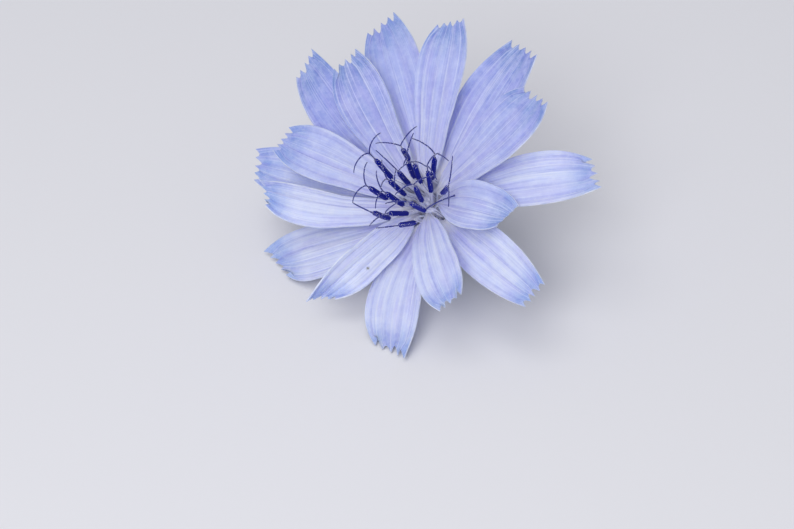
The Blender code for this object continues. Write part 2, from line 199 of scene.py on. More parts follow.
# Clockwise from the top of the head
FLORETS = [
    Floret(101.5, 6, 20.8, 7.0, -0.6, 0.68, 13, 11, (-0.6, 4.1), (0.3, 3.9), 1.5,
           ((171, 143, 3.4), (47, 135, 3.3))),
    Floret(74, -7, 21.8, 5.9, -0.6, 0.75, 19, 12, (0.1, 1.9), (0.9, 2.4), 0.7,
           ((66, 86, 3.2), (250, 125, 1.0))),
    Floret(49, -11, 20.0, 7.0, -0.3, 0.57, 13, 11, (2.3, 1.5), (4.1, 2.4), 0.8,
           ((156, 114, 3.5), (310, 76, 3.1))),
    Floret(30, 16, 19.9, 6.4, -0.4, 0.75, 18, 14, (0.9, 1.2), (1.7, 1.9), 0.7,
           ((234, 84, 2.9), (322, 90, 3.0))),
    Floret(0, -11, 20.4, 6.3, -0.7, 0.62, 10, 4, (3.5, -0.4), (5.6, -1.2), 0.8,
           ((84, 115, 3.8), (270, 125, 2.7))),
    Floret(-18, -14, 13.5, 5.5, 0.7, 0.75, 30, -12, (2.1, 0.0), (3.3, 0.9), 1.2,
           ((54, 154, 2.7), (300, 120, 2.8))),
    Floret(-43.5, -1, 18.6, 6.1, 0.0, 0.52, 12, 8, (1.3, -2.2), (1.2, -2.5), 0.8,
           ((332, 111, 3.1), (180, 128, 2.9))),
    Floret(-70, 18, 17.5, 5.5, -0.2, 0.73, 28, 14, (1.0, -1.0), (1.8, -0.7), 0.8,
           ((15, 120, 2.9), (210, 135, 2.8))),
    Floret(-105.5, 37, 17.4, 6.7, 1.0, 0.67, 8, 2, (0.1, -3.5), (-0.1, -4.9), 1.0,
           ((0, 130, 2.7), (180, 140, 2.8))),
    Floret(-137, -15, 17.8, 4.6, -1.3, 0.70, 20, 2, (-0.8, -2.3), (-1.4, -3.4), 0.7,
           ((23, 101, 3.0), (210, 130, 2.7)), roll=-38, fold=0.9),
    Floret(-170, -12, 19.2, 7.2, -1.6, 0.70, 2, -8, (-3.0, -2.6), (-3.2, -3.1), 1.2,
           ((148, 150, 3.0), (330, 125, 2.6)), roll=8),
    Floret(172, -39, 20.6, 4.6, -0.9, 0.75, 15, 7, (-1.3, -1.2), (-1.7, -1.0), 0.8,
           ((105, 125, 2.8), (255, 120, 2.6)), roll=-10, fold=0.4),
    Floret(160, 1, 20.5, 7.0, -0.6, 0.62, 10, 6, (-3.3, -0.2), (-3.7, -0.1), 0.8,
           ((85, 133, 3.1), (226, 139, 2.8)), roll=8),
    Floret(153, 3, 19.3, 6.0, 0.3, 0.75, 26, 13, (-1.1, 0.0), (-1.3, 0.4), 0.6,
           ((278, 63, 3.0), (105, 130, 2.7))),
    Floret(126.5, -21, 21.3, 6.1, -1.0, 0.62, 17, 12, (-2.7, 2.2), (-3.0, 3.1), 1.5,
           ((60, 130, 3.0), (231, 147, 3.4)), roll=6),
    Floret(114.5, -14, 20.0, 6.2, -0.5, 0.75, 22, 15, (-0.6, 1.2), (-0.2, 1.3), 0.8,
           ((135, 109, 3.5), (270, 128, 2.8))),
]


def linear(hex_code):
    """Turns an sRGB hex colour to linear red, green, blue and alpha."""
    channels = [int(hex_code[i:i + 2], 16) / 255.0 for i in (1, 3, 5)]
    return (*(c / 12.92 if c <= 0.04045 else ((c + 0.055) / 1.055) ** 2.4 for c in channels), 1.0)


def colour(name, where, hex_code):
    return FloatVectorProperty(name=name, description="Colour " + where, subtype="COLOR", size=4,
                               min=0.0, max=1.0, default=linear(hex_code))


def distance(name, description, millimetres):
    return FloatProperty(name=name, description=description, subtype="DISTANCE", unit="LENGTH",
                         precision=5, min=0.0, default=millimetres * MM)


# Sizes and colours


class PetalLook(bpy.types.PropertyGroup):
    thickness: distance("Thickness", "Thickness of a petal", 0.17)
    furrow_depth: distance("Furrow depth", "Depth of the four furrows along a petal", 0.04)
    vein_height: distance("Vein height", "How far the raised veins stand up", 0.012)
    ruffle: distance("Ruffle", "How far the edges wave up and down", 0.12)
    foot: colour("Foot", "of the rolled foot", "#f0f0ff")
    throat: colour("Throat", "just above the foot", "#c4c7f5")
    fresh: colour("Fresh blade", "of a fresh petal's blade", "#9da8e0")
    # The paler blade and tip go on petals that are partly faded and partly painted lighter, as
    # painted light on the lower petals and on petals in shade
    pale: colour("Faded, painted-lighter blade", "of a faded petal's blade", "#d2d9fc")
    tip: colour("Fresh tip", "at a fresh petal's toothed tip", "#7b92c9")
    pale_tip: colour("Faded, painted-lighter tip", "at a faded petal's toothed tip", "#96abdf")
    furrow: colour("Furrow", "in the furrows", "#8b92d6")
    blush: colour("Blush", "of the broad lavender streaks", "#aba4e2")
    pale_vein: colour("Pale vein", "of the lightest veins", "#e6eaff")
    underside: colour("Underside", "of the back of a petal", "#ccd2f3")
    rim: colour("Rim", "of the cut edge", "#e0e6fb")
    speck: colour("Speck", "of the dirt speck", "#74734c")


class ColumnLook(bpy.types.PropertyGroup):
    anther_radius: distance("Anther radius", "Radius of the anther tube", 0.29)
    filament_radius: distance("Filament radius", "Radius of one of the five filaments", 0.085)
    filament_ring: distance("Filament ring", "How far the filaments stand from the style", 0.17)
    style_radius: distance("Style radius", "Radius of the style below its fork", 0.075)
    arm_radius: distance("Arm radius", "Radius of a style arm", 0.08)
    grain_radius: distance("Grain radius", "Radius of a clump of pollen", 0.034)
    anther: colour("Anther", "of the anther tube", "#07148c")
    filament: colour("Filament", "of the filaments", "#f0f1ff")
    style: colour("Style", "of the style and its arms", "#121c78")
    pollen: colour("Pollen", "of the pollen", "#fbfbfd")


class CupLook(bpy.types.PropertyGroup):
    bract_thickness: distance("Bract thickness", "Thickness of a bract", 0.3)
    hair_length: distance("Hair length", "Length of the gland hairs on the bracts", 0.45)
    hair_radius: distance("Hair radius", "Radius of a hair at its foot", 0.022)
    scale_length: distance("Scale length", "Length of the white scales between the florets", 1.1)
    stalk_ribs: IntProperty(name="Stalk ribs", description="Ribs round the stalk", default=9, min=3)
    bract: colour("Bract", "of the bracts", "#55793a")
    margin: colour("Margin", "of a bract's edge", "#9fb878")
    bract_tip: colour("Bract tip", "of a bract's point", "#6a5560")
    cup: colour("Cup", "of the cup and stalk", "#6f9147")
    pith: colour("Pith", "inside the cut stalk", "#dfe4c2")
    scale: colour("Scale", "of the scales between the florets", "#eceeff")


class StageLook(bpy.types.PropertyGroup):
    floor: colour("Floor", "of the floor", "#e6e6ea")
    key: FloatProperty(name="Key light", description="Strength of the soft light from above",
                       default=0.78, min=0.0)
    fill_power: FloatProperty(name="Fill light", description="Power of the fill light",
                              unit="POWER", default=0.74, min=0.0)
    sky: FloatProperty(name="Sky", description="Strength of the light from all round",
                       default=0.43, min=0.0)
    lens: FloatProperty(name="Lens", description="Focal length of the camera in mm",
                        default=100.0, min=10.0)


# The rule of the head


def seat_angle(place):
    return math.radians(FIRST_SEAT - FLORET_STEP * place)


def ease(t):
    """0 to 1 with level ends."""
    t = np.clip(t, 0.0, 1.0)
    return t * t * (3.0 - 2.0 * t)


def polar(radius, angle, z):
    """Points about the axis, from single numbers or arrays of them."""
    return np.stack(np.broadcast_arrays(radius * np.cos(angle), radius * np.sin(angle), z), -1)


def travel(start, directions, step):
    """The line from start that goes one step in each direction in turn."""
    moves = np.cumsum((directions[1:] + directions[:-1]) * step / 2.0, axis=0)
    return start + np.vstack([np.zeros(3), moves])


def blade_spine(floret, place, steps=80):
    """The blade's middle line: its stations, and for each a point, a direction, and the blade's
    own cross and up, side by side."""
    ring = RINGS[place % 2]
    s = np.linspace(0.0, floret.length, steps)
    upright, rise, tip_rise = np.radians([90.0, floret.rise, floret.tip_rise])
    bent = ease((s - ring.run) / BEND_LENGTH)
    beyond = (s - ring.run - BEND_LENGTH) / (floret.length - ring.run - BEND_LENGTH)
    slope = upright + (rise - upright) * bent + (tip_rise - rise) * ease(beyond)
    out = np.clip((s - ring.run) / (floret.length - ring.run), 0.0, 1.0)
    heading = np.radians(floret.heading + floret.sweep * (out - 0.5))
    along = polar(np.cos(slope), heading, np.sin(slope))
    points = travel(polar(ring.radius, seat_angle(place), FOOT_Z), along,
                    floret.length / (steps - 1))
    level = np.stack([-np.sin(heading), np.cos(heading), np.zeros(steps)], -1)
    above = np.cross(along, level)
    roll = np.radians(floret.roll * ease((s / floret.length - ROLL_FROM) / ROLL_OVER))[:, None]
    cross = level * np.cos(roll) + above * np.sin(roll)
    return s, np.hstack([points, along, cross, np.cross(along, cross)])


def blade_half_width(floret, place, u):
    ring = RINGS[place % 2]
    start = (ring.run + ring.narrow) / floret.length
    full = floret.width / 2.0
    swell = np.clip((u - start) / (floret.widest - start), 0.0, 1.0)
    swollen = np.sin(math.pi / 2.0 * swell) ** SWELL_POWER
    growing = BASE_HALF_WIDTH + (full - BASE_HALF_WIDTH) * swollen
    shrink = np.clip((u - floret.widest) / (1.0 - floret.widest), 0.0, 1.0)
    closing = full * (1.0 - (1.0 - TIP_SHARE) * shrink ** CLOSE_POWER)
    grow_from, grow_over, fade_from, fade_over = ring.shoulder
    s = u * floret.length
    shoulder = SHOULDER * ease((s - grow_from) / grow_over)
    shoulder = shoulder * (1.0 - ease((s - fade_from) / fade_over))
    return np.where(u < floret.widest, growing, closing) + shoulder


def blade_points(floret, place, u, v, ruffle):
    """Points of the blade for u from foot (0) to tip (1) and v from right edge (-1) to left (1).
    Its foot is rolled into a tube, its teeth are pointed and its edges wave a little."""
    uneven = 1.0 + TOOTH_UNEVENNESS * np.sin(5.0 * v + 2.3 * place)
    toothed = ease((u - 1.0 + TOOTH_ZONE) / TOOTH_ZONE)
    notch = TEETH[place] * uneven * np.abs(np.sin(math.tau * v)) * toothed
    reach = u * floret.length + floret.slant * v * u ** 3 - notch
    inside = np.clip(reach, 0.0, floret.length)
    past_end = (reach - inside)[:, None]
    settled = ease(u / UNROLLED)
    folding = ease((u - FOLD_FROM) / (1.0 - FOLD_FROM))
    bow = BASE_ROLL * (1.0 - settled) + BLADE_BOW * settled + floret.fold * folding
    half = blade_half_width(floret, place, u)
    tube = 1.0 - ease(u * floret.length / FOOT_TUBE_LENGTH)
    bow = bow + (FOOT_TUBE_ROLL - bow) * tube
    half = half + (FOOT_TUBE_HALF - half) * tube
    spread = v + FURROW_SHIFT * (1.0 - v * v) * np.sin(2.6 * v + 1.7 * place)
    sideways = (half / bow * np.sin(bow * spread))[:, None]
    ridge = PLEAT * np.cos(2.0 * math.tau * v) * settled
    wave = ruffle * v * np.abs(v) * np.sin(math.tau * (RUFFLES * u + 0.37 * place))
    wave = wave * ease((u - RUFFLE_FROM) / RUFFLE_OVER)
    lift = (half / bow * (1.0 - np.cos(bow * spread)) + ridge + wave)[:, None]
    s, spine = blade_spine(floret, place)
    columns = np.stack([np.interp(inside, s, column) for column in spine.T], -1)
    point, along, cross, above = np.split(columns, 4, axis=1)
    return point + along * past_end + cross * sideways + above * lift


def blade_angle(place, radius):
    """Where a floret's blade crosses a circle about the axis, seen from above."""
    x, y = blade_spine(FLORETS[place], place)[1].T[:2]
    nearest = np.argmin(np.abs(np.hypot(x, y) - radius))
    return math.atan2(y[nearest], x[nearest])


def neck_angle(place):
    """An inner column goes up over its seat, and an outer one midway between the two inner petals
    beside it."""
    seat = seat_angle(place)
    if place % 2:
        return seat
    sides = [blade_angle((place + step) % len(FLORETS), NECK_RING) for step in (-1, 1)]
    return seat + sum(math.remainder(side - seat, math.tau) for side in sides) / 2.0


def column_points(floret, place):
    """Foot, neck, anther foot, anther top and fork of the floret's anther tube and style."""
    ring = RINGS[place % 2]
    radius = ring.radius - COLUMN_SETBACK
    foot = polar(radius, seat_angle(place), COLUMN_FOOT_Z)
    neck = polar(radius + ring.neck_push, neck_angle(place), ring.neck_z)
    low = np.array([*floret.anther_foot, ANTHER_FOOT_Z])
    high = np.array([*floret.anther_top, ANTHER_TOP_Z])
    up = (high - low) / np.linalg.norm(high - low)
    return [foot, neck, low, high, high + up * floret.free_style], up


def smooth_path(knots, per_span):
    """A Catmull-Rom curve through the knots, with each point's place along them (1.5 is halfway
    from the second knot to the third)."""
    knots = np.array(knots)
    padded = np.vstack([2 * knots[0] - knots[1], knots, 2 * knots[-1] - knots[-2]])
    points, places = [], []
    for span in range(len(knots) - 1):
        a, b, c, d = padded[span:span + 4]
        for t in np.arange(per_span) / per_span:
            points.append(0.5 * (2 * b + (c - a) * t + (2 * a - 5 * b + 4 * c - d) * t ** 2
                                 + (3 * b - a - 3 * c + d) * t ** 3))
            places.append(span + t)
    return np.vstack([points, knots[-1]]), np.array(places + [len(knots) - 1.0])


def arm_points(fork, up, azimuth, curl, length, steps=22):
    """A style arm: it leaves the fork near the style's own line and curls over and down."""
    side = polar(1.0, math.radians(azimuth), 0.0)
    side -= side.dot(up) * up
    side /= np.linalg.norm(side)
    curled = np.linspace(0.0, 1.0, steps)[:, None] ** ARM_CURL_POWER
    turn = np.radians(ARM_START + (curl - ARM_START) * curled)
    return travel(fork, np.cos(turn) * up + np.sin(turn) * side, length / (steps - 1))


def core_radius(z):
    radii, heights = np.array(CORE_PROFILE).T
    return np.interp(-z, -heights, radii)


def bract_half_width(u, width, foot_share, widest, tip_from):
    """Grows from foot_share of the width to all of it at widest, and closes to a point past
    tip_from."""
    growing = foot_share + (1.0 - foot_share) * ease(u / widest)
    closing = 1.0 - (1.0 - BRACT_POINT) * ease((u - tip_from) / (1.0 - tip_from))
    return width / 2.0 * growing * closing


def inner_bract_points(u, v):
    """A long bract pressed to the cup, with a keel, ending in a free point between two petals."""
    low, high = INNER_BRACT_SPAN
    z = low + (high - low) * u
    half = bract_half_width(u, INNER_BRACT_WIDTH, foot_share=0.55, widest=0.4, tip_from=0.5)
    radius = core_radius(z) + INNER_BRACT_RAISE + KEEL * (1.0 - np.abs(v)) * ease(u / 0.2)
    return polar(radius, half * v / radius, z)


def outer_bract_points(u, v, steps=40):
    """A short bract that leaves the foot of the head and curls away from it."""
    stations = np.linspace(0.0, 1.0, steps)
    slopes = np.radians(np.interp(stations, (0.0, 1.0), OUTER_BRACT_SLOPES))
    step = OUTER_BRACT_LENGTH / steps
    slope = np.interp(u, stations, slopes)
    out, rise = (np.interp(u, stations, np.cumsum(turned) * step)
                 for turned in (np.cos(slopes), np.sin(slopes)))
    hollow = OUTER_BRACT_HOLLOW * v * v * (1.0 - u)
    foot_radius, foot_z = OUTER_BRACT_FOOT
    half = bract_half_width(u, OUTER_BRACT_WIDTH, foot_share=0.6, widest=0.35, tip_from=0.3)
    return np.stack([foot_radius + out - hollow * np.sin(slope), half * v,
                     foot_z + rise + hollow * np.cos(slope)], -1)


def dome_points(u, v):
    """The top of the florets' seat, as a sheet that scales can stand on."""
    return polar(SEAT_RADIUS * u, math.pi * v, SEAT_RIM_Z + SEAT_RISE * (1.0 - u * u))


def head_matrix():
    """From the upright head's own frame to where it lies."""
    towards = Euler((0.0, 0.0, math.radians(LEAN_TOWARDS))).to_matrix()
    lean = Euler((0.0, math.radians(LEAN), 0.0)).to_matrix()
    spin = Euler((0.0, 0.0, math.radians(SPIN))).to_matrix()
    return Matrix.Translation(Vector(HEAD_PLACE) * MM) @ (towards @ lean @ spin).to_4x4()


# Meshes and node trees


def new_object(name, data):
    obj = bpy.data.objects.new(name, data)
    bpy.context.scene.collection.objects.link(obj)
    return obj


def dress(mesh, *materials):
    mesh.materials.clear()
    for material in materials:
        mesh.materials.append(material)


def set_attribute(mesh, name, values):
    attribute = mesh.attributes.new(name, "FLOAT", "POINT")
    values = np.broadcast_to(values, len(mesh.vertices)).astype(np.float32)
    attribute.data.foreach_set("value", values)


def sheet(name, columns, row_count, shape):
    """An object that is a grid placed by shape(u, v) in mm. Its mesh keeps u as "along" and v as
    "across"."""
    mesh = bpy.data.meshes.new(name)
    grid = bmesh.new()
    bmesh.ops.create_grid(grid, x_segments=columns, y_segments=row_count, size=1.0)
    bmesh.ops.reverse_faces(grid, faces=grid.faces[:])
    v = np.array([vertex.co.x for vertex in grid.verts])
    u = np.array([(vertex.co.y + 1.0) / 2.0 for vertex in grid.verts])
    grid.to_mesh(mesh)
    grid.free()
    mesh.vertices.foreach_set("co", (shape(u, v) * MM).ravel())
    set_attribute(mesh, "along", u)
    set_attribute(mesh, "across", v)
    mesh.shade_smooth()
    return new_object(name, mesh)


def wires(name, paths):
    """An object of open lines. Each path gives its points in mm, its girth and its dust."""
    mesh = bpy.data.meshes.new(name)
    points, edges, girths, dusts = [], [], [], []
    for path, girth, dust in paths:
        first = len(points)
        points.extend(path * MM)
        edges.extend((first + i, first + i + 1) for i in range(len(path) - 1))
        girths.extend(np.broadcast_to(girth, len(path)))
        dusts.extend(np.broadcast_to(dust, len(path)))
    mesh.from_pydata(points, edges, [])
    set_attribute(mesh, "girth", girths)
    set_attribute(mesh, "dust", dusts)
    return new_object(name, mesh)


def add_node(tree, kind, inputs=None, **settings):
    """Adds a node with its settings. Each input, by name or by place, is given a value, or the
    output or the node (its first output in use) that links to it, or a list of nodes."""
    node = tree.nodes.new(kind)
    for name, value in settings.items():
        setattr(node, name, value)
    for key, value in (inputs or {}).items():
        for source in value if isinstance(value, list) else [value]:
            if isinstance(source, bpy.types.Node):
                source = next(output for output in source.outputs if output.enabled)
            if isinstance(source, bpy.types.NodeSocket):
                tree.links.new(source, node.inputs[key])
            else:
                node.inputs[key].default_value = source
    return node


def new_geometry_tree(name, **inputs):
    """A Geometry Nodes tree with a geometry in and out, a material in, and the inputs named under
    each kind. Also returns add_node for this tree, and the outputs that carry the inputs."""
    tree = bpy.data.node_groups.new(name, "GeometryNodeTree")
    tree.interface.new_socket("Geometry", in_out="OUTPUT", socket_type="NodeSocketGeometry")
    for kind, labels in {"Geometry": "Geometry", "Material": "Material", **inputs}.items():
        for label in labels.split(", "):
            tree.interface.new_socket(label, in_out="INPUT", socket_type="NodeSocket" + kind)
    return tree, partial(add_node, tree), tree.nodes.new("NodeGroupInput").outputs


def scatter(add, given, surface, density, piece, smallest, largest, turn=None):
    """Stands copies of a piece on a surface at random, each of its own size and, if there is a
    turn, leaning."""
    spots = add("GeometryNodeDistributePointsOnFaces",
                {"Mesh": surface, "Density": density, "Seed": given["Seed"]})
    rotation = spots.outputs["Rotation"]
    if turn:
        rotation = add("FunctionNodeRotateRotation", {"Rotation": rotation, "Rotate By": turn},
                       rotation_space="LOCAL")
    size = add("FunctionNodeRandomValue", {2: smallest, 3: largest, "Seed": given["Seed"]})
    return add("GeometryNodeInstanceOnPoints",
               {"Points": spots, "Instance": piece, "Rotation": rotation, "Scale": size})


def finish_tree(tree, given, geometry, *coats):
    """Ends a tree: its instances are realized and given the material, and parts of them others."""
    geometry = add_node(tree, "GeometryNodeRealizeInstances", {"Geometry": geometry})
    for coat in ({"Material": given["Material"]}, *coats):
        geometry = add_node(tree, "GeometryNodeSetMaterial", {"Geometry": geometry, **coat})
    add_node(tree, "NodeGroupOutput", {"Geometry": geometry})
    return tree


def grow(obj, tree, **values):
    """Runs a tree on the object with the named values, and keeps the result as its plain mesh."""
    modifier = obj.modifiers.new(tree.name, "NODES")
    modifier.node_group = tree
    for item in tree.interface.items_tree:
        label = item.name.replace(" ", "_")
        if item.in_out == "INPUT" and label in values:
            modifier[item.identifier] = values[label]
    settle(obj)


def settle(obj):
    """Replaces the object's mesh by its evaluated one and removes the modifiers."""
    bpy.context.view_layer.update()
    graph = bpy.context.evaluated_depsgraph_get()
    mesh = bpy.data.meshes.new_from_object(obj.evaluated_get(graph))
    obj.modifiers.clear()
    old = obj.data
    obj.data = mesh
    bpy.data.meshes.remove(old)
    mesh.name = obj.name


def thicken(obj, thickness, back=0, rim=0):
    """Gives a sheet its thickness, with other material slots for its back and its edge."""
    wall = obj.modifiers.new("Thickness", "SOLIDIFY")
    wall.thickness = thickness
    wall.offset = 0.0
    wall.material_offset = back
    wall.material_offset_rim = rim
    settle(obj)
    obj.data.set_sharp_from_angle(angle=math.radians(SHARP_ANGLE))


def furrow_lines(add, across, start, most):
    """The four furrows along a blade, from 0 beside them to most at their deepest."""
    strap = add(MATH, {0: across, 1: 2.0}, operation="MULTIPLY")
    to_furrow = add(MATH, {0: strap, 1: FURROWS_AT}, operation="PINGPONG")
    return add(RANGE, {"Value": to_furrow, "From Min": start, "From Max": FURROWS_AT,
                       "To Max": most}, interpolation_type="SMOOTHSTEP")


def relief_tree():
    """Furrows run along the blade to the notches between the teeth, with fine veins beside them."""
    tree, add, given = new_geometry_tree(
        "Ligule relief", Float="Furrow Depth, Vein Height, Vein Turns")
    across, along = (add("GeometryNodeInputNamedAttribute", {"Name": name})
                     for name in ("across", "along"))
    furrow = furrow_lines(add, across, start=0.22, most=-1.0)
    fade = add(RANGE, {"Value": along, "From Min": 0.1, "From Max": 0.3})
    turns = add(MATH, {0: across, 1: given["Vein Turns"]}, operation="MULTIPLY")
    wave = add(MATH, {0: turns}, operation="COSINE")
    vein = add(MATH, {0: wave, 1: given["Vein Height"]}, operation="MULTIPLY")
    height = add(MATH, {0: furrow, 1: given["Furrow Depth"], 2: vein}, operation="MULTIPLY_ADD")
    faded = add(MATH, {0: height, 1: fade}, operation="MULTIPLY")
    normal = add("GeometryNodeInputNormal")
    offset = add("ShaderNodeVectorMath", {0: normal, "Scale": faded}, operation="SCALE")
    moved = add("GeometryNodeSetPosition", {"Geometry": given["Geometry"], "Offset": offset})
    return finish_tree(tree, given, moved)


def stem_tree():
    """Sweeps a lobed circle along each line, as wide as its girth, and dusts it with grains."""
    tree, add, given = new_geometry_tree(
        "Dusted stem", Int="Sides, Seed", Material="Material, Grain Material",
        Float="Lobes, Lobe Depth, Grain Radius, Grain Density")
    girth, dust = (add("GeometryNodeInputNamedAttribute", {"Name": name})
                   for name in ("girth", "dust"))
    line = add("GeometryNodeMeshToCurve", {"Mesh": given["Geometry"]})
    ring = add("GeometryNodeCurvePrimitiveCircle", {"Resolution": given["Sides"], "Radius": 1.0})
    place = add("GeometryNodeInputPosition")
    split = add("ShaderNodeSeparateXYZ", {"Vector": place}).outputs
    angle = add(MATH, {0: split["Y"], 1: split["X"]}, operation="ARCTAN2")
    turned = add(MATH, {0: angle, 1: given["Lobes"]}, operation="MULTIPLY")
    lobe = add(MATH, {0: turned}, operation="COSINE")
    reach = add(MATH, {0: lobe, 1: given["Lobe Depth"], 2: 1.0}, operation="MULTIPLY_ADD")
    lobed = add("ShaderNodeVectorMath", {0: place, "Scale": reach}, operation="SCALE")
    profile = add("GeometryNodeSetPosition", {"Geometry": ring, "Position": lobed})
    swept = add("GeometryNodeCurveToMesh",
                {"Curve": line, "Profile Curve": profile, "Scale": girth, "Fill Caps": True})
    smooth = add("GeometryNodeSetShadeSmooth", {"Geometry": swept})
    density = add(MATH, {0: given["Grain Density"], 1: dust}, operation="MULTIPLY")
    ball = add("GeometryNodeMeshIcoSphere", {"Radius": given["Grain Radius"], "Subdivisions": 1})
    grain = add("GeometryNodeStoreNamedAttribute",
                {"Geometry": ball, "Name": "grain", "Value": True},
                data_type="BOOLEAN", domain="FACE")
    grains = scatter(add, given, smooth, density, grain, smallest=0.55, largest=1.25)
    joined = add("GeometryNodeJoinGeometry", {"Geometry": [grains, smooth]})
    is_grain = add("GeometryNodeInputNamedAttribute", {"Name": "grain"}, data_type="BOOLEAN")
    return finish_tree(tree, given, joined,
                       {"Selection": is_grain, "Material": given["Grain Material"]})


def ring_tree():
    """Sets copies of one bract round the head's axis, each a little different in size and place."""
    tree, add, given = new_geometry_tree(
        "Bract ring", Int="Count, Seed", Float="First Angle, Unevenness")
    seats = add("GeometryNodePoints", {"Count": given["Count"]})
    index = add("GeometryNodeInputIndex")
    step = add(MATH, {0: math.tau, 1: given["Count"]}, operation="DIVIDE")
    angle = add(MATH, {0: index, 1: step, 2: given["First Angle"]}, operation="MULTIPLY_ADD")
    least = add(MATH, {0: 0.0, 1: given["Unevenness"]}, operation="SUBTRACT")
    nudge = add("FunctionNodeRandomValue",
                {2: least, 3: given["Unevenness"], "Seed": given["Seed"]})
    uneven = add(MATH, {0: angle, 1: nudge}, operation="ADD")
    turn = add("FunctionNodeAxisAngleToRotation", {"Axis": (0.0, 0.0, 1.0), "Angle": uneven})
    size = add(MATH, {0: 1.0, 1: nudge}, operation="ADD")
    ring = add("GeometryNodeInstanceOnPoints",
               {"Points": seats, "Instance": given["Geometry"], "Rotation": turn, "Scale": size})
    return finish_tree(tree, given, ring)


def hair_tree():
    """Hairs stand on a surface: densely along its edges, and sparsely on the rest. Each is a thin
    cone with a round gland at its end."""
    tree, add, given = new_geometry_tree(
        "Hairs", Int="Seed",
        Float="Length, Radius, Point Radius, Gland Radius, Lean, Edge Density, Back Density")
    across = add("GeometryNodeInputNamedAttribute", {"Name": "across"})
    from_middle = add(MATH, {0: across}, operation="ABSOLUTE")
    density = add(RANGE, {"Value": from_middle, "From Min": 0.93, "From Max": 0.98,
                          "To Min": given["Back Density"], "To Max": given["Edge Density"]})
    shaft = add("GeometryNodeMeshCone",
                {"Vertices": 5, "Radius Top": given["Point Radius"],
                 "Radius Bottom": given["Radius"], "Depth": given["Length"]})
    gland = add("GeometryNodeMeshIcoSphere", {"Radius": given["Gland Radius"], "Subdivisions": 1})
    end = add("ShaderNodeCombineXYZ", {"Z": given["Length"]})
    raised = add("GeometryNodeTransform", {"Geometry": gland, "Translation": end})
    hair = add("GeometryNodeJoinGeometry", {"Geometry": [shaft, raised]})
    least = add(MATH, {0: 0.0, 1: given["Lean"]}, operation="SUBTRACT")
    tilt = add("FunctionNodeRandomValue", {0: least, 1: given["Lean"], "Seed": given["Seed"]},
               data_type="FLOAT_VECTOR")
    turn = add("FunctionNodeEulerToRotation", {"Euler": tilt})
    hairs = scatter(add, given, given["Geometry"], density, hair, smallest=0.5, largest=1.2,
                    turn=turn)
    return finish_tree(tree, given, hairs)


# Materials


def new_material(name, **constants):
    """A material named for what it is, with its constants set on the shader's own sockets. Also
    returns add_node for its tree."""
    material = bpy.data.materials.new(name)
    material.use_nodes = True
    shader = material.node_tree.nodes["Principled BSDF"]
    for socket, value in constants.items():
        shader.inputs[socket.replace("_", " ")].default_value = value
    return material, partial(add_node, material.node_tree)


def paint(material, colour=None, layers=(), height=None, strength=0.0, depth=0.0):
    """Gives a material its colour, with each share of a tint in layers mixed over it in turn, and
    a bump depth mm deep where it has a height."""
    tree = material.node_tree
    shader = tree.nodes["Principled BSDF"]
    for share, tint in layers:
        colour = add_node(tree, "ShaderNodeMix", {SHARE: share, FIRST: colour, SECOND: tint},
                          data_type="RGBA")
        tree.links.new(colour.outputs[MIXED], shader.inputs["Base Color"])
    if height:
        bump = add_node(tree, "ShaderNodeBump",
                        {"Height": height, "Strength": strength, "Distance": depth * MM})
        tree.links.new(bump.outputs["Normal"], shader.inputs["Normal"])
    return material


def lengthwise_lines(add, spacing, run, shift, low, high, most=1.0):
    """Lines along a blade, spacing mm apart and about run mm long, from 0 between them to most."""
    across, along, number = (add("ShaderNodeAttribute", attribute_name=name).outputs["Fac"]
                             for name in ("across", "along", "number"))
    sideways = add(MATH, {0: across, 1: BLADE_HALF_WIDTH / spacing}, operation="MULTIPLY")
    lengthways = add(MATH, {0: along, 1: BLADE_LENGTH / run}, operation="MULTIPLY")
    apart = add(MATH, {0: number, 1: FLORET_SHIFT, 2: shift}, operation="MULTIPLY_ADD")
    place = add("ShaderNodeCombineXYZ", {"X": sideways, "Y": lengthways, "Z": apart})
    noise = add("ShaderNodeTexNoise",
                {"Vector": place, "Scale": 1.0, "Detail": 2.5, "Roughness": 0.6})
    return add(RANGE, {"Value": noise, "From Min": low, "From Max": high, "To Max": most},
               interpolation_type="SMOOTHSTEP")


def set_stops(ramp, *stops):
    """Puts (place, colour) stops on a colour ramp."""
    elements = ramp.color_ramp.elements
    while len(elements) < len(stops):
        elements.new(0.5)
    for element, (position, value) in zip(elements, stops):
        element.position = position
        element.color = value
    return ramp


